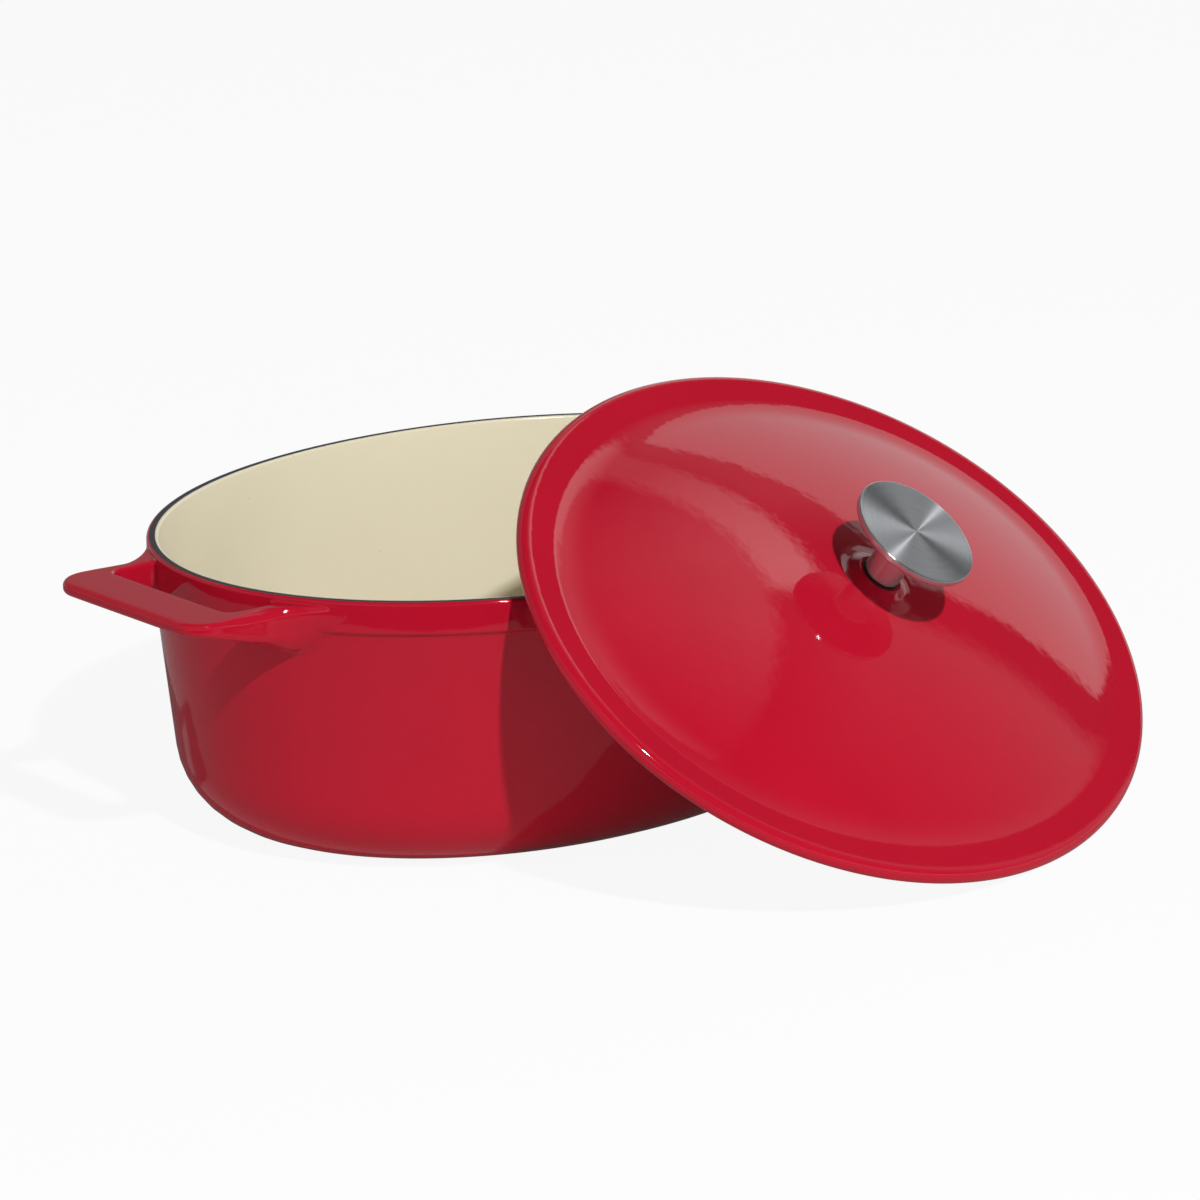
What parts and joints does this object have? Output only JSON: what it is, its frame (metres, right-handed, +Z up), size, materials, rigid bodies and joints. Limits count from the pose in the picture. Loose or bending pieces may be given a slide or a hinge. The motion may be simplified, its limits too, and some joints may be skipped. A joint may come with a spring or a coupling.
{
  "type": "oval dutch oven",
  "caption": "Oval enamelled cast iron dutch oven with loop handles, and a domed lid with a steel knob leaning on its rim.",
  "frame": {"origin": "centre of the pot's flat base, on the table", "axes": "+Z up, +X along the pot's long axis through both handles"},
  "size_m": [0.3823, 0.3278, 0.1491],
  "materials": {
    "red_enamelled_iron": "gloss red vitreous enamel on cast iron",
    "cream_enamel": "gloss cream vitreous enamel",
    "black_enamel": "matte black ground coat",
    "seal_rubber": "matte black silicone",
    "turned_stainless": "turned stainless steel with concentric marks",
    "plated_steel": "zinc plated steel"
  },
  "bodies": {
    "pot": {"pot_casting": "red_enamelled_iron", "pot_inner_enamel": "cream_enamel", "pot_rim_enamel": "black_enamel"},
    "lid": {"lid_casting": "red_enamelled_iron", "lid_inner_enamel": "cream_enamel", "lid_rim_enamel": "black_enamel", "knob_gasket": "seal_rubber"},
    "knob": {"knob": "turned_stainless"},
    "fastener": {"knob_screw": "plated_steel", "knob_washer": "plated_steel", "knob_spring_washer": "plated_steel"}
  },
  "joints": [
    {"name": "lid_lift", "type": "slide", "parent": "pot", "child": "lid", "axis": [0, 0, 1], "range_m": [0, 0.2]},
    {"name": "knob_turn", "type": "hinge", "parent": "lid", "child": "knob", "pos_m": [0.05077, -0.11679, 0.0725], "axis": [0.1529, -0.6089, 0.7784], "range_deg": [0, 3600]},
    {"name": "screw_run", "type": "slide", "parent": "lid", "child": "fastener", "axis": [-0.1529, 0.6089, -0.7784], "range_m": [0, 0.01]}
  ],
  "couplings": [
    {"joint": "screw_run", "follows": "knob_turn", "m_per_rad": 0.00015915}
  ]
}
